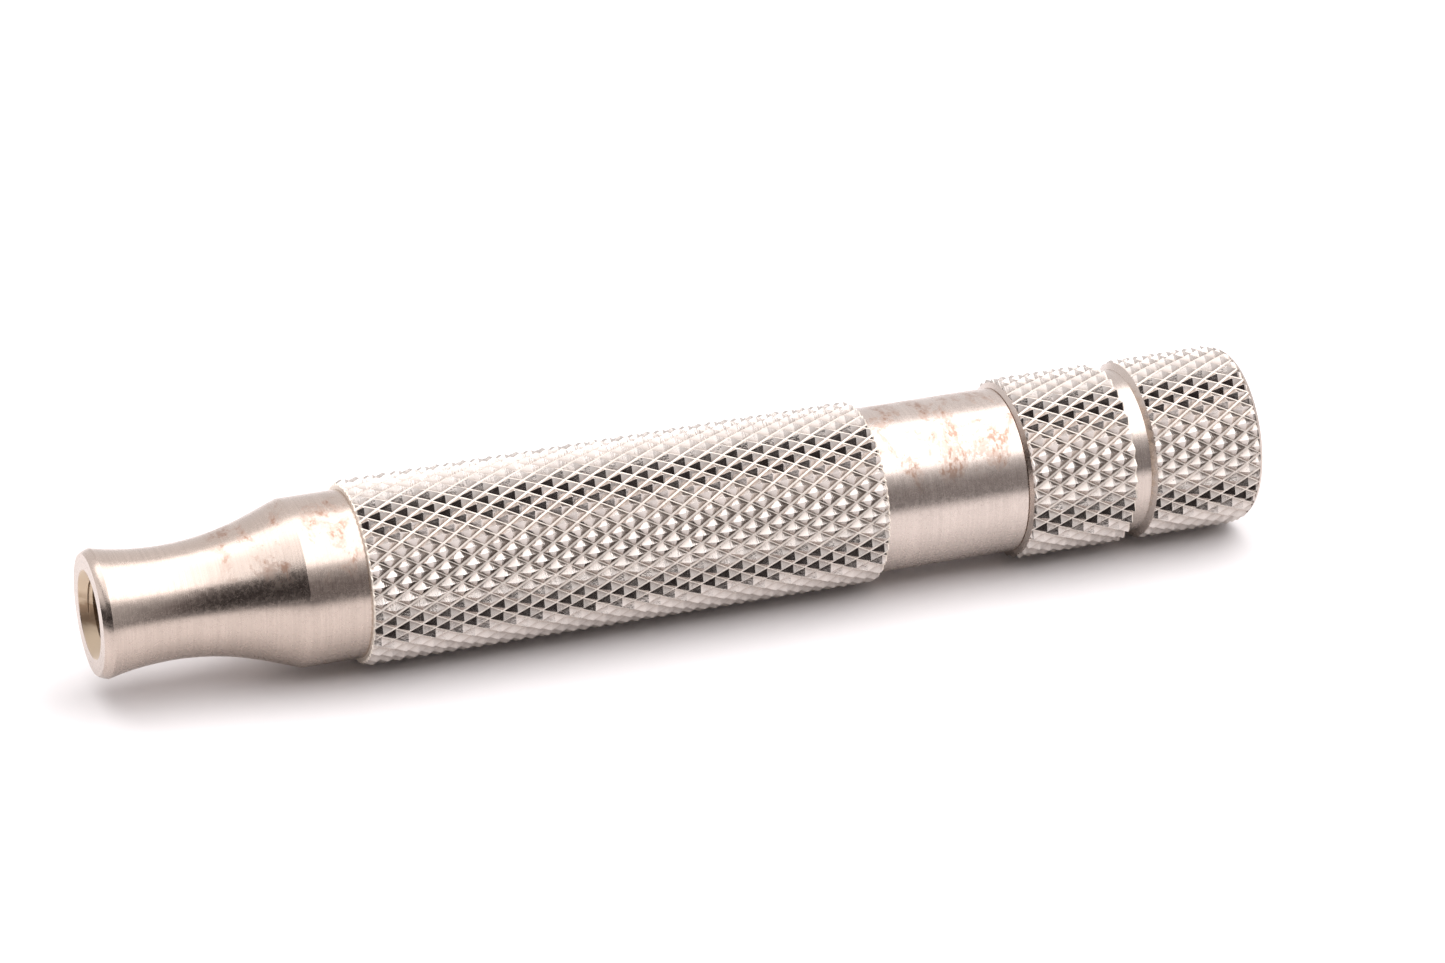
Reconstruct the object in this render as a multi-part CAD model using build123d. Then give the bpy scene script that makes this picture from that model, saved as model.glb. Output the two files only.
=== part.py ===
from build123d import *
import os

# Pocket scriber handle with its screw-in carbide point stowed inside.
# Frame: the tool lies along X. Origin at the centre of the nose's front face,
# +X runs from the nose to the tail cap, +Z is up. All sizes in millimetres.
# X_ names are stations along the axis, R_ names are radii.

# ---- shared dimensions ----
R_GRIP = 6.25            # crest radius of every knurled surface
R_BAND = 5.645           # plain band, the nose's rear land and the groove floor
R_CORE = 5.0             # core tube's outside under the grip sleeve
R_STORE = 3.3            # storage bore in the core tube
X_GRIP_0 = 17.6          # grip sleeve's front end, against the nose shoulder
X_GRIP_1 = 53.75         # its rear end, against the band shoulder
X_CAP_0 = 64.0           # tail cap's front face, against the core tube's mouth
X_TIP = 28.4             # stowed needle's point
R_COLLAR = 2.95          # collar of the scribing point
EDGE = 0.1               # small edge break

# M5 x 0.8 thread: point to nose
M5_PITCH = 0.8
M5_MAJOR = 2.5
M5_MINOR = 2.2           # bore radius; wider than the standard 2.1

# M8 x 0.75 (nose to core tube) and M9 x 0.75 (cap to core tube)
FINE_PITCH = 0.75
FINE_MINOR_DROP = 0.41   # major to minor radius of the female thread
FINE_ROOT_DROP = 0.5     # nominal major radius to the male thread's root
FINE_CREST = 0.071       # crest flat of the male threads
FINE_ROOT_FLAT = FINE_PITCH / 8
RUN = 0.05               # radial running clearance between threads

M8_MAJOR = 4.0
M8_MINOR = M8_MAJOR - FINE_MINOR_DROP
M8_ROOT = M8_MAJOR - FINE_ROOT_DROP
X_M8_HELIX = 17.3        # helix start, shared so that both threads are in phase
X_M8_END = 25.0          # rear face of the nose's spigot

M9_MAJOR = 4.5
M9_MINOR = M9_MAJOR - FINE_MINOR_DROP
M9_ROOT = M9_MAJOR - FINE_ROOT_DROP
X_M9_HELIX = 55.75       # female helix start; the male one is a whole pitch behind

# Rubber bush and the pocket that holds it in the cap
R_BUSH_POCKET = 3.90
X_BUSH_0 = 67.4
X_BUSH_1 = 73.6

# O-ring, 7.8 x 1.0
R_RING = 4.40            # centre-line radius
R_CORD = 0.50
X_RING = 63.05


# ---- helpers ----
def lathe(points):
    """Solid of revolution about X from a closed (x, r) outline."""
    with BuildSketch(Plane.XY) as sk:
        with BuildLine():
            Polyline(*points, close=True)
        make_face()
    return revolve(sk.sketch, axis=Axis.X)


FLANK = 0.5714           # half-width gained per unit of thread depth
SINK = 0.1               # thread bars reach this far past the surface they join
END_SINK = 0.05          # run-out ends start this far below the thread's root
END_OVER = 0.15          # and pass this far outside its crest
END_INNER = 0.5          # inside of the run-out envelope, below the root


def helical_bar(pitch, helix, r_inner, w_inner, r_outer, w_outer):
    """Right-handed helical bar about X; helix is its (start, end) in x.
    Its section is centred on the start, in the +Z half-plane."""
    x0, x1 = helix
    path = Helix(pitch=pitch, height=x1 - x0, radius=(r_inner + r_outer) / 2,
                 center=(x0, 0, 0), direction=(1, 0, 0))
    start = path @ 0
    out = Vector(0, start.Y, start.Z).normalized()
    mid = Vector(x0, 0, 0)
    along = Vector(1, 0, 0)
    corners = [mid + out * r_inner - along * (w_inner / 2),
               mid + out * r_inner + along * (w_inner / 2),
               mid + out * r_outer + along * (w_outer / 2),
               mid + out * r_outer - along * (w_outer / 2)]
    section = Face(Wire(Polyline(*[tuple(c) for c in corners], close=True).edges()))
    return sweep(section, path=path, is_frenet=True)


def female_thread(body, pitch, helix, r_minor, r_major, root_flat):
    """Cut an internal thread; the wall left at r_minor is the thread's crest."""
    r_inner = r_minor - SINK
    w_inner = root_flat + 2 * FLANK * (r_major - r_inner)
    return body - helical_bar(pitch, helix, r_inner, w_inner, r_major, root_flat)


def male_thread(body, pitch, helix, r_root, r_major, crest, x_a, x_b):
    """Add an external thread to a root cylinder, with 45 degree run-outs at x_a and x_b."""
    r_inner = r_root - SINK
    w_inner = crest + 2 * FLANK * (r_major - r_inner)
    bar = helical_bar(pitch, helix, r_inner, w_inner, r_major, crest)
    r_low = r_root - END_SINK
    r_high = r_major + END_OVER
    rise = r_high - r_low
    envelope = lathe([
        (x_a, r_root - END_INNER), (x_a, r_low), (x_a + rise, r_high),
        (x_b - rise, r_high), (x_b, r_low), (x_b, r_root - END_INNER)])
    return body + (bar & envelope)


# ---- nose socket ----
R_FACE = 4.05            # flat of the front face
LIP_MID = (0.31, 4.232)  # on the shallow arc from the flat to the curve's first point
# (x, r) from the crease behind the lip to the corner where the flare meets the rear land
NOSE_CURVE = [(0.62, 4.330), (1.0, 4.240), (2.0, 4.040), (3.5, 3.858), (5.0, 3.785),
              (7.0, 3.890), (9.0, 4.205), (10.5, 4.600), (12.0, 5.105), (13.5, R_BAND)]
NOSE_TANGENTS = [(1, -0.24), (1, 0.345)]

R_SINK = 3.0             # 90 degree countersink at the front face
X_SINK = R_SINK - M5_MINOR
M5_ROOT_FLAT = 0.05      # at the bottom of the thread's groove; standard is 0.1
M5_HELIX = (-0.041, 12.4)  # phased to break into the countersink on the +Y side
X_M5_DRILL = 13.6        # end of the tapping drill's full diameter
M5_DRILL_CONE = 1.2


def make_nose_socket():
    with BuildSketch(Plane.XY) as sk:
        with BuildLine():
            Line((0, R_SINK), (0, R_FACE))
            ThreePointArc((0, R_FACE), LIP_MID, NOSE_CURVE[0])
            Spline(*NOSE_CURVE, tangents=NOSE_TANGENTS)
            Polyline(NOSE_CURVE[-1], (X_GRIP_0, R_BAND), (X_GRIP_0, M8_ROOT),
                     (X_M8_END - EDGE, M8_ROOT), (X_M8_END, M8_ROOT - EDGE), (X_M8_END, 0),
                     (X_M5_DRILL + M5_DRILL_CONE, 0), (X_M5_DRILL, M5_MINOR),
                     (X_SINK, M5_MINOR), (0, R_SINK))
        make_face()
    body = revolve(sk.sketch, axis=Axis.X)
    body = female_thread(body, M5_PITCH, M5_HELIX, M5_MINOR, M5_MAJOR, M5_ROOT_FLAT)
    return male_thread(body, FINE_PITCH, (X_M8_HELIX, 25.7), M8_ROOT, M8_MAJOR - RUN,
                       FINE_CREST, x_a=X_GRIP_0 + 0.7, x_b=X_M8_END - 0.15)


# ---- core tube ----
X_CORE_0 = X_GRIP_0 + 0.3  # short of the nose shoulder, so the sleeve is what gets clamped
X_M8_TAP = 25.5          # rear end of the front thread's run-out groove
M8_GROOVE = 0.7          # run-out groove lengths
M9_GROOVE = 0.9
GROOVE_DEPTH = 0.1       # beyond the major radius
X_M9_0 = 56.2            # inner end of the rear thread, at its run-out groove
X_M9_1 = 62.2            # its outer end, at the seal's counterbore
R_SEAL_BORE = 4.95       # counterbore the O-ring seals in
CORE_EDGE = 0.2
M8_MOUTH = 0.35          # chamfers at the mouths of the bores
M9_MOUTH = 0.4
SEAL_MOUTH = 0.25
BAND_EDGE_0 = 0.05       # chamfers at the band's front and rear
BAND_EDGE_1 = 0.08


def make_core_tube():
    r_groove_8 = M8_MAJOR + GROOVE_DEPTH
    r_groove_9 = M9_MAJOR + GROOVE_DEPTH
    tube = lathe([
        # outside, front to rear
        (X_CORE_0, M8_MINOR + M8_MOUTH), (X_CORE_0, R_CORE - CORE_EDGE),
        (X_CORE_0 + CORE_EDGE, R_CORE), (X_GRIP_1, R_CORE),
        (X_GRIP_1, R_BAND - BAND_EDGE_0), (X_GRIP_1 + BAND_EDGE_0, R_BAND),
        (X_CAP_0 - BAND_EDGE_1, R_BAND), (X_CAP_0, R_BAND - BAND_EDGE_1),
        # inside, rear to front
        (X_CAP_0, R_SEAL_BORE + SEAL_MOUTH), (X_CAP_0 - SEAL_MOUTH, R_SEAL_BORE),
        (X_M9_1, R_SEAL_BORE), (X_M9_1, M9_MAJOR), (X_M9_1 - M9_MOUTH, M9_MINOR),
        (X_M9_0, M9_MINOR), (X_M9_0, r_groove_9),
        (X_M9_0 - M9_GROOVE, r_groove_9), (X_M9_0 - M9_GROOVE, R_STORE),
        (X_M8_TAP, R_STORE), (X_M8_TAP, r_groove_8),
        (X_M8_TAP - M8_GROOVE, r_groove_8), (X_M8_TAP - M8_GROOVE, M8_MINOR),
        (X_CORE_0 + M8_MOUTH, M8_MINOR)])
    tube = female_thread(tube, FINE_PITCH, (X_M8_HELIX, 25.1), M8_MINOR, M8_MAJOR,
                         FINE_ROOT_FLAT)
    return female_thread(tube, FINE_PITCH, (X_M9_HELIX, 62.6), M9_MINOR, M9_MAJOR,
                         FINE_ROOT_FLAT)


# ---- grip sleeve, at the knurl's crest diameter ----
SLEEVE_CHAMFER = 0.25
R_SLEEVE_BORE = R_CORE + 0.03


def make_grip_sleeve():
    r_end = R_GRIP - SLEEVE_CHAMFER
    return lathe([
        (X_GRIP_0, R_SLEEVE_BORE), (X_GRIP_0, r_end), (X_GRIP_0 + SLEEVE_CHAMFER, R_GRIP),
        (X_GRIP_1 - SLEEVE_CHAMFER, R_GRIP), (X_GRIP_1, r_end), (X_GRIP_1, R_SLEEVE_BORE)])


# ---- tail cap ----
X_SPIGOT = 57.2          # front face of the spigot
X_SPIGOT_1 = 62.0        # end of its root cylinder
X_SEAL = 62.12           # start of the O-ring's seat
R_SEAT = R_RING - R_CORD - 0.02
R_CAP_FRONT = R_BAND + 0.02
CAP_FRONT_RAMP = 0.3
X_RING_1 = 71.75         # end of the first knurled ring
X_RING_2 = 73.4          # start of the second knurled ring
RING_2_RAMP = 0.42       # slope up to it from the groove floor
X_TAIL = 81.2            # tail face
TAIL_CHAMFER_X = 0.65    # along the axis
TAIL_CHAMFER_R = 0.45    # radially
R_CAP_BORE = R_COLLAR + 0.2  # lets the point's collar through
X_CAP_DRILL = 77.2       # end of the bore's full diameter
CAP_DRILL_CONE = 1.6


def make_tail_cap():
    cap = lathe([
        # outside, front to rear
        (X_SPIGOT, R_CAP_BORE + EDGE), (X_SPIGOT, M9_ROOT - EDGE), (X_SPIGOT + EDGE, M9_ROOT),
        (X_SPIGOT_1, M9_ROOT), (X_SEAL, R_SEAT), (X_CAP_0, R_SEAT),
        (X_CAP_0, R_CAP_FRONT), (X_CAP_0 + CAP_FRONT_RAMP, R_GRIP),
        (X_RING_1 - EDGE, R_GRIP), (X_RING_1, R_GRIP - EDGE), (X_RING_1, R_BAND),
        (X_RING_2 - RING_2_RAMP, R_BAND), (X_RING_2, R_GRIP),
        (X_TAIL - TAIL_CHAMFER_X, R_GRIP), (X_TAIL, R_GRIP - TAIL_CHAMFER_R), (X_TAIL, 0),
        # inside, rear to front
        (X_CAP_DRILL + CAP_DRILL_CONE, 0), (X_CAP_DRILL, R_CAP_BORE),
        (X_BUSH_1, R_CAP_BORE), (X_BUSH_1, R_BUSH_POCKET),
        (X_BUSH_0, R_BUSH_POCKET), (X_BUSH_0, R_CAP_BORE), (X_SPIGOT + EDGE, R_CAP_BORE)])
    return male_thread(cap, FINE_PITCH, (X_M9_HELIX + FINE_PITCH, 62.9), M9_ROOT,
                       M9_MAJOR - RUN, FINE_CREST, x_a=X_SPIGOT + 0.13, x_b=X_SPIGOT_1 - 0.07)


# ---- rubber bush in the cap ----
R_BUSH_HOLE = 2.50
BUSH_GAP = 0.05
BUSH_MOUTH = 0.35        # chamfer at the hole's front


def make_point_grommet():
    x_front = X_BUSH_0 + BUSH_GAP
    x_rear = X_BUSH_1 - BUSH_GAP
    r_out = R_BUSH_POCKET - BUSH_GAP
    return lathe([
        (x_front, R_BUSH_HOLE + BUSH_MOUTH), (x_front, r_out), (x_rear, r_out),
        (x_rear, R_BUSH_HOLE), (x_front + BUSH_MOUTH, R_BUSH_HOLE)])


def make_cap_o_ring():
    with BuildSketch(Plane.XY) as sk:
        with Locations((X_RING, R_RING)):
            Circle(R_CORD)
    return revolve(sk.sketch, axis=Axis.X)


# ---- scribing point, stowed: tip towards the nose, stud towards the tail ----
X_NEEDLE = 39.0          # where the needle enters the shank
X_NEEDLE_END = 44.0      # bottom of the brazed hole
R_NEEDLE = 1.0
R_SHANK_FRONT = 1.35
SHANK_EDGE = 0.15
R_SHANK = 2.25
X_TAPER = 57.0           # end of the shank's taper
X_COLLAR_0 = 65.2
X_COLLAR_1 = 66.4        # small end of the collar's seating cone
COLLAR_RAMP = 0.6        # slope from the shank up to the collar
COLLAR_CONE = 0.9        # 45 degree seating cone
X_STUD = 75.6            # stud's rear end
R_STUD = M5_MAJOR - 0.03
STUD_ROOT = 2.0
STUD_EDGE = 0.2
STUD_CREST = 0.06        # narrowed to suit the nose's thread; standard is 0.1

NEEDLE_GAP = 0.01        # radial gap in the hole
NEEDLE_END_GAP = 0.1
TIP_LENGTH = 5.2         # needle's cone
R_TIP = 0.03


def make_point_holder():
    holder = lathe([
        (X_NEEDLE, R_NEEDLE), (X_NEEDLE, R_SHANK_FRONT - SHANK_EDGE),
        (X_NEEDLE + SHANK_EDGE, R_SHANK_FRONT), (X_TAPER, R_SHANK),
        (X_COLLAR_0 - COLLAR_RAMP, R_SHANK), (X_COLLAR_0, R_COLLAR - EDGE),
        (X_COLLAR_0 + EDGE, R_COLLAR), (X_COLLAR_1 - COLLAR_CONE, R_COLLAR),
        (X_COLLAR_1, R_COLLAR - COLLAR_CONE), (X_COLLAR_1, STUD_ROOT),
        (X_STUD - STUD_EDGE, STUD_ROOT), (X_STUD, STUD_ROOT - STUD_EDGE),
        (X_STUD, 0), (X_NEEDLE_END, 0), (X_NEEDLE_END, R_NEEDLE)])
    return male_thread(holder, M5_PITCH, (66.2, 76.3), STUD_ROOT, R_STUD, STUD_CREST,
                       x_a=X_COLLAR_1 + 0.6, x_b=X_STUD - 0.27)


def make_carbide_tip():
    r = R_NEEDLE - NEEDLE_GAP
    x_end = X_NEEDLE_END - NEEDLE_END_GAP
    return lathe([(X_TIP, R_TIP), (X_TIP + TIP_LENGTH, r), (x_end, r), (x_end, 0), (X_TIP, 0)])


# ---- soft pad at the bottom of the storage bore, dished for the tip ----
X_PAD_0 = X_M8_END + 0.05
X_PAD_1 = 28.9
R_PAD = R_STORE - 0.06
X_DISH = X_TIP - 1.2     # floor of the dish
R_DISH_FLOOR = 0.25
R_DISH_MOUTH = 1.1


def make_tip_rest_pad():
    return lathe([(X_PAD_0, 0), (X_PAD_0, R_PAD), (X_PAD_1, R_PAD), (X_PAD_1, R_DISH_MOUTH),
                  (X_DISH, R_DISH_FLOOR), (X_DISH, 0)])


nodes = {
    "nose_socket": make_nose_socket,
    "core_tube": make_core_tube,
    "grip_sleeve": make_grip_sleeve,
    "tail_cap": make_tail_cap,
    "point_grommet": make_point_grommet,
    "cap_o_ring": make_cap_o_ring,
    "point_holder": make_point_holder,
    "carbide_tip": make_carbide_tip,
    "tip_rest_pad": make_tip_rest_pad,
}
os.makedirs("parts", exist_ok=True)
for name, make in nodes.items():
    export_step(make(), f"parts/{name}.step")
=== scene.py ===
"""A slim steel hand tool with a carbide tip, a knurled grip and a knurled tail cap.

It lies along X on the floor, its axis on Y = Z = 0 and its tail cap at the +X end. The camera
looks from -Y. Meshes are worked out in millimetres; materials and the studio are in metres.
"""
import bpy
import bmesh
import math
import random
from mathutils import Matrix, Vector

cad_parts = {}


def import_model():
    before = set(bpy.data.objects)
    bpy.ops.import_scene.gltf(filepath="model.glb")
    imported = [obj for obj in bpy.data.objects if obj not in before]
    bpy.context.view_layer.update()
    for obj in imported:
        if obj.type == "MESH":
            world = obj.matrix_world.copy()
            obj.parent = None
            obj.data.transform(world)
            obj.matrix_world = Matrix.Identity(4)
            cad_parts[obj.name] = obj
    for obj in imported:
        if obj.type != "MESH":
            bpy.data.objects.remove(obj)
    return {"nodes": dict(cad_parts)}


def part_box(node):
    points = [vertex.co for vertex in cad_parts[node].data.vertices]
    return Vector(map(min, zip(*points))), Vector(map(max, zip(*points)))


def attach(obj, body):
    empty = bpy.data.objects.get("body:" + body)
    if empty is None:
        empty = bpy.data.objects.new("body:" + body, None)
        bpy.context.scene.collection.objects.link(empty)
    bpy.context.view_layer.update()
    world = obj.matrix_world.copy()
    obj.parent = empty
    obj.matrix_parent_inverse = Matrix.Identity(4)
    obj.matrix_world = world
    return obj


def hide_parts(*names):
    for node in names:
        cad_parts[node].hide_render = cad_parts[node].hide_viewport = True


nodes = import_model()["nodes"]
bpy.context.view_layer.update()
MM = 0.001


# ------------------------------------------------------------------ sizes, mm
def extent(node):
    """First x, last x and outer radius of a CAD node."""
    low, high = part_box(node)
    return low.x / MM, high.x / MM, max(high.y, high.z) / MM


GRIP_START, GRIP_END, CREST_R = extent("grip_sleeve")
_, TAIL, _ = extent("tail_cap")
_, CAP_START, BAND_R = extent("core_tube")      # the cap begins where the smooth band ends

GRIP_CHAMFER = 0.24
GRIP_SKIN_R = 5.5       # CAD faces of the grip reaching beyond this are replaced by knurl

# The cap has two knurled rings with a plain groove between them
RING1_END = 71.75
GROOVE_END = 72.98
RING2_START = 73.40
RING1_STEP = 0.02       # ring 1 starts this much above the band
RING1_RISE = 0.3        # axial length of its front slope
RING1_CHAMFER = 0.1
TAIL_CHAMFER = 0.65     # along the axis
TAIL_R = CREST_R - 0.45
TAIL_FACE_RADII = (TAIL_R - 0.25, 3.0, 0.6)
TAIL_FACE_SEGMENTS = 128
CAP_SKIN_R = 5.7        # CAD faces of the cap reaching beyond this are replaced by knurl
CAP_LOOP_R = 5.0        # the outer open loops of the cap lie beyond this

# Edges of the smooth turned zones; a cut lies close on either side of each
RING1_PLAIN_END = CAP_START + 0.185
RING2_PLAIN_END = GROOVE_END + 0.295
TAIL_PLAIN_START = TAIL - 0.215

KNURL_ROWS = 2 * 34             # half-pitch rows round the circumference
KNURL_PERIOD = 1.852            # along the axis
KNURL_DEPTH = 0.38
KNURL_BASE = (1 - 0.14, 1 - 0.075)      # diamond base across each groove family, share of pitch
KNURL_TOP = 0.045               # diamond top, share of pitch
KNURL_JITTER = 0.022            # unevenness of the tops

KNURL_SLOT, FLOOR_SLOT, PLAIN_SLOT = 0, 1, 2    # material slots of the knurled pieces


# ------------------------------------------------------------------ mesh helpers
def new_object(name, bm):
    mesh = bpy.data.meshes.new(name)
    bm.normal_update()
    bm.to_mesh(mesh)
    bm.free()
    made = bpy.data.objects.new(name, mesh)
    bpy.context.scene.collection.objects.link(made)
    return made


def angle_of(vert):
    return math.atan2(vert.co.z, vert.co.y)


def radius_of(vert):
    return math.hypot(vert.co.y, vert.co.z) / MM


def ring_vert(bm, x, angle, radius):
    return bm.verts.new((x * MM, radius * math.cos(angle) * MM, radius * math.sin(angle) * MM))


def open_loop(bm, x, beyond=0.0, tolerance=2e-3, skip=()):
    """Boundary vertices at x and outside the radius `beyond`, sorted by angle."""
    found = set()
    for edge in bm.edges:
        if len(edge.link_faces) == 1:
            for vert in edge.verts:
                if abs(vert.co.x / MM - x) < tolerance and radius_of(vert) > beyond:
                    found.add(vert)
    skipped = set(skip)
    return [vert for vert in sorted(found, key=angle_of) if vert not in skipped]


def stitch(bm, loop_a, loop_b):
    """Closed strip of triangles between two loops sorted by angle."""
    count_a, count_b = len(loop_a), len(loop_b)
    angles_a = [angle_of(v) for v in loop_a]
    angles_b = [angle_of(v) for v in loop_b]
    first = angles_a[0]
    start = min(range(count_b), key=lambda k: abs(math.remainder(angles_b[k] - first, math.tau)))

    def unrolled_a(index):
        return angles_a[index % count_a] + math.tau * (index // count_a)

    unrolled_b = [first + math.remainder(angles_b[start] - first, math.tau)]
    for k in range(1, count_b + 1):
        here, before = angles_b[(start + k) % count_b], angles_b[(start + k - 1) % count_b]
        unrolled_b.append(unrolled_b[-1] + (here - before) % math.tau)

    i = j = 0
    while i < count_a or j < count_b:
        vert_a, vert_b = loop_a[i % count_a], loop_b[(start + j) % count_b]
        if j >= count_b or (i < count_a and unrolled_a(i + 1) <= unrolled_b[j + 1]):
            i += 1
            triangle = (vert_a, loop_a[i % count_a], vert_b)
        else:
            j += 1
            triangle = (vert_a, loop_b[(start + j) % count_b], vert_b)
        if len(set(triangle)) == 3:
            try:
                bm.faces.new(triangle)
            except ValueError:      # guards against a triangle that is already there
                pass


def slice_at(bm, x, normal_x=1, clear=False):
    """Cuts the mesh across at x; with `clear`, drops what lies on the normal's side."""
    bmesh.ops.bisect_plane(bm, geom=bm.verts[:] + bm.edges[:] + bm.faces[:], dist=1e-9,
                           plane_co=(x * MM, 0, 0), plane_no=(normal_x, 0, 0), clear_outer=clear)


def stripped_cad(node, unwanted):
    """The CAD node's mesh with split vertices joined and unwanted faces removed."""
    bm = bmesh.new()
    bm.from_mesh(nodes[node].data)
    bmesh.ops.remove_doubles(bm, verts=bm.verts, dist=3e-7)
    bmesh.ops.delete(bm, geom=[f for f in bm.faces if unwanted(f)], context="FACES")
    bmesh.ops.delete(bm, geom=[v for v in bm.verts if not v.link_faces], context="VERTS")
    return bm


# ------------------------------------------------------------------ knurl
def add_diamonds(bm, start, end, phase, seed):
    """Four-sided diamonds; returns each one's base corners by (axial, angular) row."""
    rnd = random.Random(seed)
    quarter = KNURL_PERIOD / 4
    row_angle = math.tau / KNURL_ROWS
    base_u, base_v = KNURL_BASE
    corners = ((-1, -1), (-1, 1), (1, 1), (1, -1))      # along the two groove directions
    first = math.floor((start - phase) / (KNURL_PERIOD / 2)) - 2
    last = math.ceil((end - phase) / (KNURL_PERIOD / 2)) + 2
    bases = {}
    for k in range(first, last + 1):
        for m in range(KNURL_ROWS):
            if (m + k) % 2 == 0:
                continue
            x, angle = phase + k * KNURL_PERIOD / 2, m * row_angle
            base = [ring_vert(bm, x + (u * base_u + v * base_v) * quarter,
                              angle + (u * base_u - v * base_v) * row_angle / 2,
                              CREST_R - KNURL_DEPTH) for u, v in corners]
            shift_x = rnd.uniform(-KNURL_JITTER, KNURL_JITTER)
            shift_angle = rnd.uniform(-KNURL_JITTER, KNURL_JITTER) / CREST_R
            top_r = CREST_R - rnd.uniform(0.0, KNURL_JITTER)
            top = [ring_vert(bm, x + shift_x + (u + v) * KNURL_TOP * quarter,
                             angle + shift_angle + (u - v) * KNURL_TOP * row_angle / 2,
                             top_r) for u, v in corners]
            bases[(k, m)] = base
            bm.faces.new(top)
            for q in range(4):
                after = (q + 1) % 4
                bm.faces.new((base[q], base[after], top[after], top[q]))
    return bases


def add_groove_floors(bm, bases):
    """A strip between neighbouring diamonds and a small lozenge at every crossing."""
    for (k, m), base in bases.items():
        above, below = (m + 1) % KNURL_ROWS, (m - 1) % KNURL_ROWS
        up, down = bases.get((k + 1, above)), bases.get((k + 1, below))
        ahead = bases.get((k + 2, m))
        if up:
            bm.faces.new((base[2], up[1], up[0], base[3])).material_index = FLOOR_SLOT
        if down:
            bm.faces.new((base[1], down[0], down[3], base[2])).material_index = FLOOR_SLOT
        if ahead and up and down:
            bm.faces.new((base[2], down[3], ahead[0], up[1])).material_index = FLOOR_SLOT


def knurl(bm, start, end, limit, seed, phase, start_cuts, end_cuts, plain=None):
    """Adds a knurled band from start to end.

    limit(x) is the largest radius at x; plain(x) is true where the surface is smooth.
    start_cuts and end_cuts are distances in from the ends where extra rings of edges go.
    """
    band = bmesh.new()
    add_groove_floors(band, add_diamonds(band, start, end, phase, seed))
    slice_at(band, start, normal_x=-1, clear=True)
    slice_at(band, end, clear=True)
    for x in [start + cut for cut in start_cuts] + [end - cut for cut in end_cuts]:
        slice_at(band, x)
    bmesh.ops.remove_doubles(band, verts=band.verts, dist=2e-7)
    for vert in band.verts:
        x, radius = vert.co.x / MM, radius_of(vert)
        allowed = limit(x)
        if radius > allowed or (plain and plain(x)):
            vert.co.y *= allowed / radius
            vert.co.z *= allowed / radius
    if plain:
        for face in band.faces:
            if all(plain(v.co.x / MM) for v in face.verts):
                face.material_index = PLAIN_SLOT
    carrier = bpy.data.meshes.new("knurl_band")
    band.to_mesh(carrier)
    band.free()
    bm.from_mesh(carrier)
    bpy.data.meshes.remove(carrier)


# ------------------------------------------------------------------ grip sleeve
def grip_limit(x):
    edge_r = CREST_R - GRIP_CHAMFER
    return min(CREST_R, edge_r + (x - GRIP_START), edge_r + (GRIP_END - x))


def build_grip():
    """The CAD sleeve's inside with a knurled outside."""
    bm = stripped_cad("grip_sleeve", lambda f: max(radius_of(v) for v in f.verts) > GRIP_SKIN_R)
    ends = (GRIP_START, GRIP_END)
    inner_loops = [open_loop(bm, x) for x in ends]
    cuts = (0.08, 0.16, 0.24)
    knurl(bm, GRIP_START, GRIP_END, grip_limit, seed=11, phase=GRIP_START + 0.55,
          start_cuts=cuts, end_cuts=cuts)
    for x, inner in zip(ends, inner_loops):
        stitch(bm, inner, open_loop(bm, x, beyond=GRIP_SKIN_R))
    bmesh.ops.recalc_face_normals(bm, faces=bm.faces)
    return new_object("grip_sleeve_knurled", bm)


grip = build_grip()
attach(grip, "handle")
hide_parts("grip_sleeve")


# ------------------------------------------------------------------ tail cap
def ring1_limit(x):
    slope = (x - CAP_START) / RING1_RISE
    return min(CREST_R,
               BAND_R + RING1_STEP + slope * (CREST_R - BAND_R - RING1_STEP),
               CREST_R - RING1_CHAMFER + (RING1_END - x))


def ring2_limit(x):
    slope = (x - GROOVE_END) / (RING2_START - GROOVE_END)
    return min(CREST_R,
               BAND_R + slope * (CREST_R - BAND_R),
               TAIL_R + (TAIL - x) / TAIL_CHAMFER * (CREST_R - TAIL_R))


def add_tail_face(bm):
    """Flat disc closing the tail end."""
    outer = open_loop(bm, TAIL, beyond=CAP_LOOP_R)
    count = TAIL_FACE_SEGMENTS
    rings = [[ring_vert(bm, TAIL, math.tau * k / count, radius) for k in range(count)]
             for radius in TAIL_FACE_RADII]
    for a, b in zip(rings, rings[1:]):
        for k in range(count):
            after = (k + 1) % count
            bm.faces.new((a[k], a[after], b[after], b[k]))
    stitch(bm, outer, sorted(rings[0], key=angle_of))
    centre = bm.verts.new((TAIL * MM, 0, 0))
    last = rings[-1]
    for k in range(count):
        bm.faces.new((last[k], last[(k + 1) % count], centre))


def smooth_plain_faces(bm):
    """Marks the plain turned surfaces and shades them smooth between their sharp edges."""
    for face in bm.faces:
        if (max(radius_of(v) for v in face.verts) < BAND_R + 0.03
                or min(v.co.x for v in face.verts) / MM > TAIL - 0.01):
            face.material_index = PLAIN_SLOT
    bm.normal_update()
    for face in bm.faces:
        face.smooth = face.material_index == PLAIN_SLOT
    sharp = math.radians(25)
    for edge in bm.edges:
        if (len(edge.link_faces) == 2 and all(f.smooth for f in edge.link_faces)
                and edge.calc_face_angle(0.0) > sharp):
            edge.smooth = False


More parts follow.
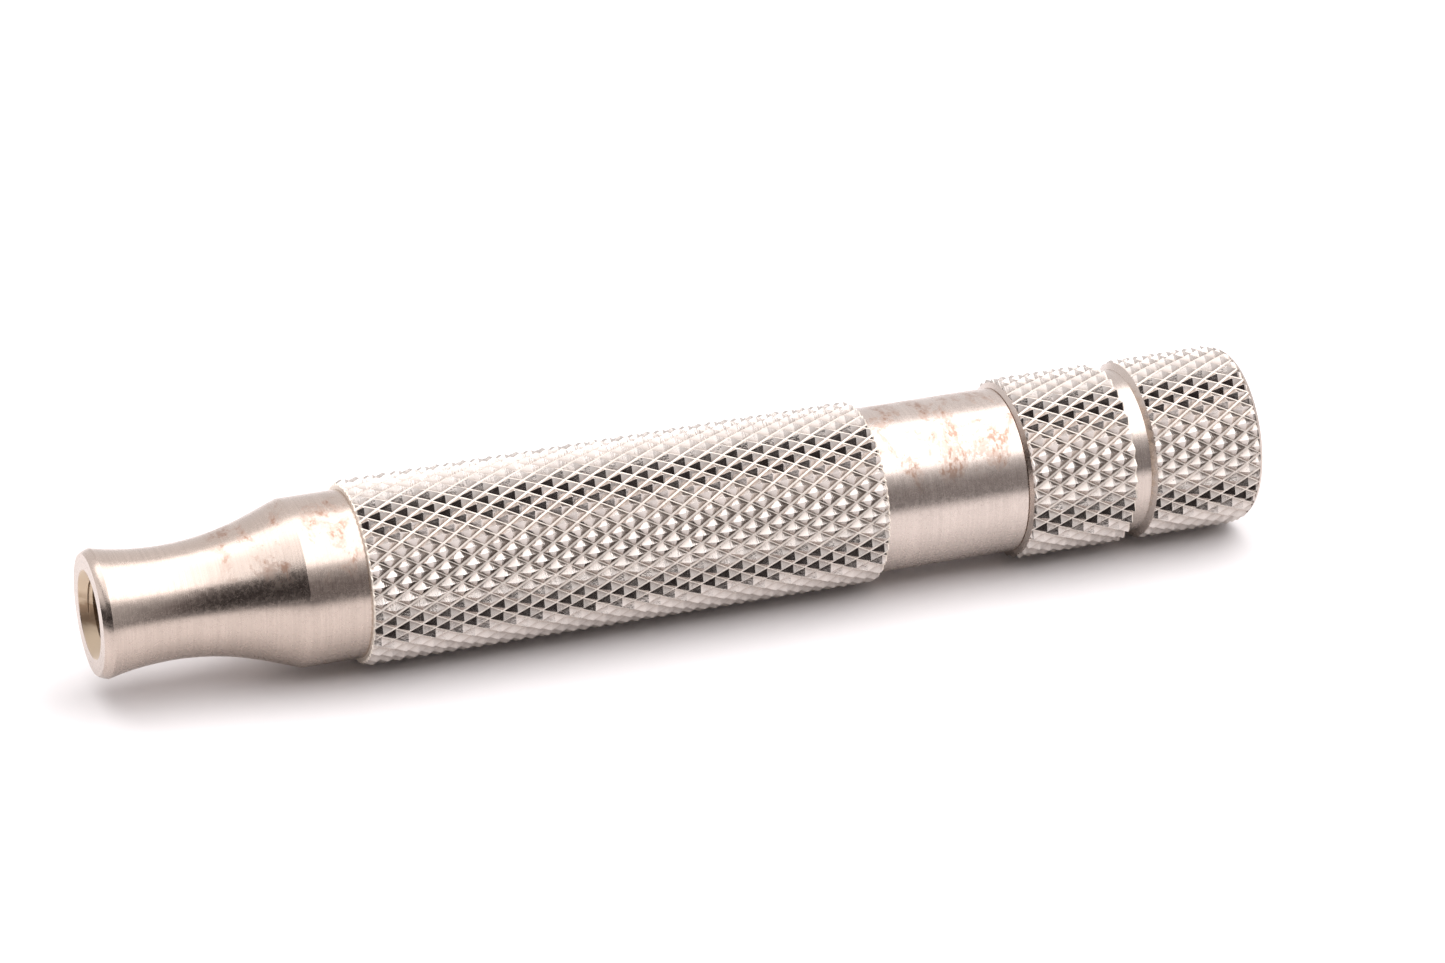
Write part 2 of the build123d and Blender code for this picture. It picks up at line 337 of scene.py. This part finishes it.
def build_cap():
    """The CAD cap's inside and groove with two knurled rings and a new end face."""
    bm = stripped_cad("tail_cap", lambda f: (
        max(radius_of(v) for v in f.verts) > CAP_SKIN_R
        and min(v.co.x for v in f.verts) / MM > CAP_START - 0.01))
    front = open_loop(bm, CAP_START, beyond=CAP_LOOP_R)
    groove_front = open_loop(bm, RING1_END, beyond=CAP_LOOP_R, tolerance=0.02)
    groove_back = open_loop(bm, GROOVE_END, beyond=CAP_LOOP_R, tolerance=0.02)

    knurl(bm, CAP_START, RING1_END, ring1_limit, seed=23, phase=CAP_START + 0.35,
          start_cuts=(0.05, 0.1, 0.18, 0.19, 0.3), end_cuts=(0.05, 0.1),
          plain=lambda x: x < RING1_PLAIN_END)
    stitch(bm, front, open_loop(bm, CAP_START, beyond=CAP_LOOP_R, skip=front))
    stitch(bm, groove_front, open_loop(bm, RING1_END, beyond=CAP_SKIN_R))

    knurl(bm, GROOVE_END, TAIL, ring2_limit, seed=37, phase=RING2_START + 0.2,
          start_cuts=(0.1, 0.2, 0.29, 0.30, 0.36, 0.42),
          end_cuts=(0.11, 0.21, 0.22, 0.3, 0.42, 0.54, TAIL_CHAMFER),
          plain=lambda x: x < RING2_PLAIN_END or x > TAIL_PLAIN_START)
    stitch(bm, groove_back, open_loop(bm, GROOVE_END, beyond=CAP_LOOP_R, skip=groove_back))

    add_tail_face(bm)
    bmesh.ops.recalc_face_normals(bm, faces=bm.faces)
    smooth_plain_faces(bm)
    return new_object("tail_cap_knurled", bm)


cap = build_cap()
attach(cap, "tail_cap")
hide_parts("tail_cap")


# ------------------------------------------------------------------ node graphs
class Graph:
    """A node tree ending in one shader. Methods add a node and return its output socket."""

    def __init__(self, tree, output="OutputMaterial", shader="BsdfPrincipled",
                 coordinate="Object"):
        self.tree = tree
        tree.nodes.clear()
        end = self.node(output)
        self.shader = self.node(shader)
        self.feed(end.inputs[0], self.shader.outputs[0])
        self.point = self.node("TexCoord").outputs[coordinate]

    def node(self, kind):
        return self.tree.nodes.new("ShaderNode" + kind)

    def feed(self, socket, value):
        """Links a socket, or sets a number or an RGB colour."""
        if isinstance(value, bpy.types.NodeSocket):
            self.tree.links.new(value, socket)
        else:
            socket.default_value = (*value, 1) if isinstance(value, tuple) else value

    def set_shader(self, inputs):
        for name, value in inputs.items():
            self.feed(self.shader.inputs[name], value)

    def axes(self):
        node = self.node("SeparateXYZ")
        self.feed(node.inputs[0], self.point)
        return node.outputs

    def noise(self, scale, detail=2, rough=0.5, distortion=0.0, point=None):
        """Noise with a scale per axis, or one number for all three."""
        mapping = self.node("Mapping")
        mapping.inputs["Scale"].default_value = scale if isinstance(scale, tuple) else (scale,) * 3
        self.feed(mapping.inputs["Vector"], point or self.point)
        node = self.node("TexNoise")
        for name, value in (("Scale", 1.0), ("Detail", detail), ("Roughness", rough),
                            ("Distortion", distortion), ("Vector", mapping.outputs[0])):
            self.feed(node.inputs[name], value)
        return node.outputs["Fac"]

    def fade(self, value, span, to=(0.0, 1.0)):
        """Smooth step from to[0] to to[1] while the value crosses the span."""
        node = self.node("MapRange")
        node.interpolation_type = "SMOOTHSTEP"
        names = ("From Min", "From Max", "To Min", "To Max", "Value")
        for name, setting in zip(names, (*span, *to, value)):
            self.feed(node.inputs[name], setting)
        return node.outputs["Result"]

    def math(self, operation, *values, clamp=False):
        node = self.node("Math")
        node.operation = operation
        node.use_clamp = clamp
        for socket, value in zip(node.inputs, values):
            self.feed(socket, value)
        return node.outputs[0]

    def times(self, value, by, clamp=False):
        return self.math("MULTIPLY", value, by, clamp=clamp)

    def plus(self, value, other, clamp=False):
        return self.math("ADD", value, other, clamp=clamp)

    def minus(self, value, other):
        return self.math("SUBTRACT", value, other)

    def larger(self, value, other):
        return self.math("MAXIMUM", value, other)

    def radius(self, y, z):
        """Distance from the tool's axis."""
        return self.math("SQRT", self.plus(self.times(y, by=y), self.times(z, by=z)))

    def mix(self, amount, color, other):
        node = self.node("Mix")
        node.data_type = "RGBA"
        socket_a, socket_b = [s for s in node.inputs if s.type == "RGBA"]
        self.feed(node.inputs[0], amount)
        self.feed(socket_a, color)
        self.feed(socket_b, other)
        return [s for s in node.outputs if s.type == "RGBA"][0]

    def bump(self, height, strength, distance, normal=None):
        node = self.node("Bump")
        node.inputs["Strength"].default_value = strength
        node.inputs["Distance"].default_value = distance
        self.feed(node.inputs["Height"], height)
        if normal is not None:
            self.feed(node.inputs["Normal"], normal)
        return node.outputs[0]


def new_material(name):
    made = bpy.data.materials.new(name)
    made.use_nodes = True
    return made, Graph(made.node_tree)


def toned(color, factor):
    return tuple(c * factor for c in color)


# ------------------------------------------------------------------ materials
STEEL = (0.570, 0.478, 0.420)
TARNISH = (0.47, 0.36, 0.305)
TARNISH_CORE = (0.34, 0.205, 0.15)
BORE_GOLD = (0.56, 0.445, 0.325)
# painted shade inside the bore
BORE_PAINTED_SHADE = (0.24, 0.155, 0.095)
# painted highlight and painted shade for the knurl, and a painted edge highlight for its rims
CREST_PAINTED_HIGHLIGHT = (0.70, 0.655, 0.62)
CAVITY_PAINTED_SHADE = (0.33, 0.275, 0.237)
RIM_PAINTED_HIGHLIGHT = (0.84, 0.76, 0.675)


def tarnish_area(g, x, y, z):
    """Two lengths of the tool's upper side, strongest towards the camera (-Y)."""
    upper = g.times(g.fade(z, span=(0.0016, 0.0034)),
                    by=g.fade(y, span=(-0.0005, 0.0022), to=(1.0, 0.35)))

    def zone(start, end, soft):
        return g.times(g.fade(x, span=(start, start + soft)),
                       by=g.fade(x, span=(end - soft, end), to=(1.0, 0.0)))

    zones = g.plus(zone(start=0.0075, end=0.0180, soft=0.0018),
                   zone(start=0.0532, end=0.0645, soft=0.0010), clamp=True)
    return g.times(zones, by=upper)


def add_bore(g, y, z, radius, color, rough):
    """Golden bore with a streaky belt of painted shade, dark brown, low on its +Y side."""
    inside = g.fade(radius, span=(0.00292, 0.00302), to=(1.0, 0.0))
    streaks = g.noise((700, 260, 1500), detail=3, rough=0.6)
    # painted shade: a dark brown belt stands in for a dark reflection inside the countersink
    belt = g.times(g.fade(z, span=(-0.0023, -0.0014)),
                   by=g.fade(z, span=(-0.0004, 0.0006), to=(1.0, 0.0)))
    shade_belt = g.times(g.times(belt, by=g.fade(y, span=(0.0, 0.0015))),
                    by=g.fade(streaks, span=(0.36, 0.60), to=(0.25, 1.0)))
    gold_with_shade_belt = g.mix(g.times(shade_belt, by=0.85), BORE_GOLD, BORE_PAINTED_SHADE)
    return g.mix(inside, color, gold_with_shade_belt), g.larger(rough, g.times(inside, by=0.38))


def turned_steel(name, base=STEEL, rough=0.24, stains=1.0, line_strength=0.45, bore=False):
    """Satin steel with fine lathe rings, faint mottling and patches of warm tarnish."""
    made, g = new_material(name)
    x, y, z = g.axes()
    radius = g.radius(y, z)
    # x is sheared by the radius, so that the rings also show on faces square to the axis
    sheared = g.node("CombineXYZ")
    for socket, value in zip(sheared.inputs, (g.minus(x, g.times(radius, by=0.7)), y, z)):
        g.feed(socket, value)
    sheared = sheared.outputs[0]
    fine = g.noise((9000, 60, 60), detail=3, rough=0.65, point=sheared)
    wide = g.noise((1500, 20, 20), point=sheared)
    lines = g.plus(g.times(fine, by=0.65), g.times(wide, by=0.35))
    grain = g.noise(3500, rough=0.6)
    mottle = g.noise(420, detail=4, rough=0.6)
    color = g.mix(g.fade(mottle, span=(0.35, 0.7)), toned(base, 1.03), toned(base, 0.94))
    color = g.mix(g.fade(lines, span=(0.35, 0.65)), color, toned(base, 0.90))
    roughness = g.fade(grain, span=(0.3, 0.7), to=(rough - 0.03, rough + 0.05))

    # tarnish: speckled blotches with darker cores
    area = tarnish_area(g, x, y, z)
    blotch = g.noise((560, 400, 400), detail=6, rough=0.66, distortion=0.6)
    speck = g.noise((3600, 1900, 1900), detail=3, rough=0.7)
    patch = g.times(g.fade(blotch, span=(0.50, 0.535)),
                    by=g.fade(speck, span=(0.42, 0.50), to=(0.30, 1.0)))
    core = g.times(g.fade(blotch, span=(0.56, 0.60)),
                   by=g.fade(speck, span=(0.46, 0.54), to=(0.15, 1.0)))
    stain = g.times(g.times(patch, by=area), by=stains, clamp=True)
    dark = g.times(g.times(core, by=area), by=0.80 * stains, clamp=True)
    color = g.mix(g.times(stain, by=0.85), color, TARNISH)
    color = g.mix(dark, color, TARNISH_CORE)
    roughness = g.plus(roughness, g.times(stain, by=0.10))
    if bore:
        color, roughness = add_bore(g, y, z, radius, color, roughness)

    ring_bump = g.bump(lines, strength=line_strength, distance=0.00002)
    g.set_shader({
        "Base Color": color, "Roughness": roughness, "Metallic": 1.0,
        "Normal": g.bump(grain, strength=0.03, distance=0.00002, normal=ring_bump)})
    return made


def knurled_steel(name, base=(0.52, 0.468, 0.434), rough=0.19, metallic=1.0, cavity_shade=0.5):
    """Rolled knurl: painted highlight on the crests, painted shade on the lower, warmer flanks,
    small dents and pale matt rims painted as edge highlights.
    """
    made, g = new_material(name)
    marks = g.noise((7500, 500, 500), rough=0.6)
    dents = g.noise(3600, rough=0.55)
    mottle = g.noise(900, detail=3, rough=0.6)
    x, y, z = g.axes()
    radius = g.radius(y, z)
    # painted highlight: the crests turn lighter; painted shade: low on the flanks the colour turns
    # dark
    crest_highlight = g.fade(radius, span=(0.00592, 0.00614))
    low = g.fade(g.plus(radius, g.times(dents, by=0.00008)), span=(0.00591, 0.00604),
                 to=(1.0, 0.0))
    color = g.mix(g.fade(mottle, span=(0.35, 0.7)), toned(base, 1.04), toned(base, 0.92))
    color = g.mix(g.times(crest_highlight, by=0.5), color, CREST_PAINTED_HIGHLIGHT)
    color = g.mix(g.times(low, by=cavity_shade), color, CAVITY_PAINTED_SHADE)

    # the rim, a pale painted edge highlight, is all that lies low, and a narrow strip (mm) at
    # these ends
    rim_highlight = g.fade(radius, span=(0.00583, 0.00586), to=(1.0, 0.0))
    for end, width in ((GRIP_START, 0.11), (GRIP_END, 0.11), (RING1_END, 0.06)):
        away = g.math("ABSOLUTE", g.minus(x, end * MM))
        strip = g.fade(away, span=(width * 0.6 * MM, width * 1.3 * MM), to=(1.0, 0.0))
        rim_highlight = g.larger(rim_highlight, strip)
    roughness = g.fade(mottle, span=(0.3, 0.7), to=(rough - 0.03, rough + 0.08))
    mark_bump = g.bump(marks, strength=0.35, distance=0.00003)
    g.set_shader({
        "Base Color": g.mix(rim_highlight, color, RIM_PAINTED_HIGHLIGHT),
        "Roughness": g.larger(roughness, g.times(rim_highlight, by=0.48)),
        "Metallic": g.fade(rim_highlight, span=(0.0, 1.0), to=(metallic, min(metallic, 0.55))),
        "Normal": g.bump(dents, strength=0.30, distance=0.00005, normal=mark_bump)})
    return made


def rubber(name, base, rough=0.6):
    made, g = new_material(name)
    grain = g.noise(2600, detail=4, rough=0.65)
    pale = tuple(c * 1.5 + 0.01 for c in base)
    g.set_shader({
        "Base Color": g.mix(g.fade(grain, span=(0.3, 0.7)), base, pale),
        "Roughness": g.fade(grain, span=(0.3, 0.7), to=(rough - 0.1, rough + 0.12)),
        "Normal": g.bump(grain, strength=0.2, distance=0.00004)})
    return made


def ground_steel(name, base, rough, line_scale=5200):
    """Ground metal with fine lines round the axis and darker clouds."""
    made, g = new_material(name)
    lines = g.noise((line_scale, 120, 120), detail=3, rough=0.6)
    clouds = g.noise(700, detail=3, rough=0.6)
    color = g.mix(g.fade(lines, span=(0.35, 0.65)), toned(base, 1.08), toned(base, 0.82))
    g.set_shader({
        "Base Color": g.mix(g.fade(clouds, span=(0.55, 0.75)), color, toned(base, 0.8)),
        "Roughness": g.fade(clouds, span=(0.3, 0.7), to=(rough - 0.04, rough + 0.08)),
        "Metallic": 1.0,
        "Normal": g.bump(lines, strength=0.3, distance=0.00002)})
    return made


cad_materials = {
    "nose_socket": turned_steel("turned_steel_nose", bore=True),
    "core_tube": turned_steel("turned_steel_band", base=(0.63, 0.545, 0.495), rough=0.25),
    "point_holder": ground_steel("ground_tool_steel", base=(0.50, 0.47, 0.44), rough=0.25),
    "carbide_tip": ground_steel("ground_carbide", base=(0.26, 0.26, 0.28), rough=0.18,
                                line_scale=9000),
    "cap_o_ring": rubber("black_rubber", base=(0.016, 0.016, 0.017), rough=0.45),
    "point_grommet": rubber("grey_rubber_bush", base=(0.075, 0.075, 0.08)),
    "tip_rest_pad": rubber("grey_rubber_pad", base=(0.085, 0.085, 0.09)),
}
for node_name, node_material in cad_materials.items():
    slots = nodes[node_name].data.materials
    slots.clear()
    slots.append(node_material)

diamond_steel = knurled_steel("knurled_steel")
# painted highlight: the groove floors get a pale, half-metallic colour standing in for the bright
# lines between the diamonds
groove_highlight_steel = knurled_steel("knurl_groove_painted_highlight", base=(0.80, 0.735, 0.675), rough=0.50,
                             metallic=0.55, cavity_shade=0.0)
for piece in (grip, cap):
    piece.data.materials.append(diamond_steel)
    piece.data.materials.append(groove_highlight_steel)
cap.data.materials.append(turned_steel("turned_steel_cap", base=(0.60, 0.52, 0.47),
                                       stains=0.0, line_strength=0.6))


# ------------------------------------------------------------------ studio, metres
def build_floor():
    """Pale sheet; in reflections it turns dark a little in front (-Y) of the tool."""
    bm = bmesh.new()
    bmesh.ops.create_grid(bm, x_segments=1, y_segments=1, size=3.0)
    floor = new_object("floor", bm)
    floor.location = (0, 0, -CREST_R * MM)
    made, g = new_material("floor_white")
    _, y, _ = g.axes()
    not_glossy = g.minus(1.0, g.node("LightPath").outputs["Is Glossy Ray"])
    sheet = g.larger(g.fade(y, span=(-0.072, -0.032), to=(0.08, 1.0)), not_glossy)
    g.set_shader({
        "Base Color": g.mix(sheet, (0.0, 0.0, 0.0), (0.870, 0.853, 0.858)),
        "Roughness": 0.75, "Specular IOR Level": 0.2})
    floor.data.materials.append(made)


def build_world():
    """Pale backdrop on the far side (+Y), dark room with soft glows on the camera's side."""
    front_dark, back_wall = 0.03, 1.0       # strengths
    world = bpy.data.worlds.new("studio")
    bpy.context.scene.world = world
    world.use_nodes = True
    g = Graph(world.node_tree, output="OutputWorld", shader="Background",
              coordinate="Generated")
    x, y, z = g.axes()
    low = g.fade(x, span=(0.0, 0.5), to=(front_dark, front_dark + 0.38))
    high = g.times(g.fade(x, span=(-0.15, 0.25)), by=g.fade(z, span=(0.30, 0.80)))
    right = g.fade(x, span=(0.50, 0.95), to=(0.0, 0.60))
    left = g.times(g.fade(x, span=(-0.68, -0.48), to=(1.3, 0.0)),
                   by=g.fade(z, span=(0.38, 0.58)))
    front = g.plus(g.plus(g.plus(g.times(high, by=0.75), low), right), left)
    back = g.fade(y, span=(-0.15, 0.30))
    total = g.plus(g.times(back, by=back_wall), g.times(g.minus(1.0, back), by=front))
    # the camera itself sees at least full white
    strength = g.larger(total, g.node("LightPath").outputs["Is Camera Ray"])
    tint = g.node("ValToRGB")       # the dark parts are a little warmer
    stops = ((0.04, (1.0, 0.80, 0.80, 1)), (0.45, (1.0, 0.972, 0.978, 1)))
    for element, (position, color) in zip(tint.color_ramp.elements, stops):
        element.position = position
        element.color = color
    g.feed(tint.inputs[0], strength)
    g.set_shader({"Color": tint.outputs[0], "Strength": strength})


def place(name, data, location, target):
    """Adds a light or camera aimed at the target."""
    made = bpy.data.objects.new(name, data)
    bpy.context.scene.collection.objects.link(made)
    made.location = location
    aim = Vector(target) - Vector(location)
    made.rotation_euler = aim.to_track_quat("-Z", "Y").to_euler()
    return made


def build_light():
    """One large soft box straight overhead."""
    radiance = 1.85
    light = bpy.data.lights.new("soft_box", "AREA")
    light.shape = "RECTANGLE"
    width, depth = 0.94, 0.82
    light.size = width
    light.size_y = depth
    light.energy = math.pi * width * depth * radiance
    light.color = (1.0, 0.982, 0.988)
    place("soft_box", light, location=(0.17, -0.09, 0.50), target=(0.17, -0.09, 0.0))


def build_camera():
    scene = bpy.context.scene
    lens = bpy.data.cameras.new("camera")
    lens.sensor_fit = "HORIZONTAL"
    lens.sensor_width = 36.0
    lens.lens = 143.55
    lens.clip_start = 0.01
    lens.clip_end = 20
    scene.camera = place("camera", lens, location=(-0.074597, -0.327858, 0.172462),
                         target=(0.04390, 0.0, 0.00240))
    scene.view_settings.view_transform = "Standard"


build_floor()
build_world()
build_light()
build_camera()

bpy.context.view_layer.update()
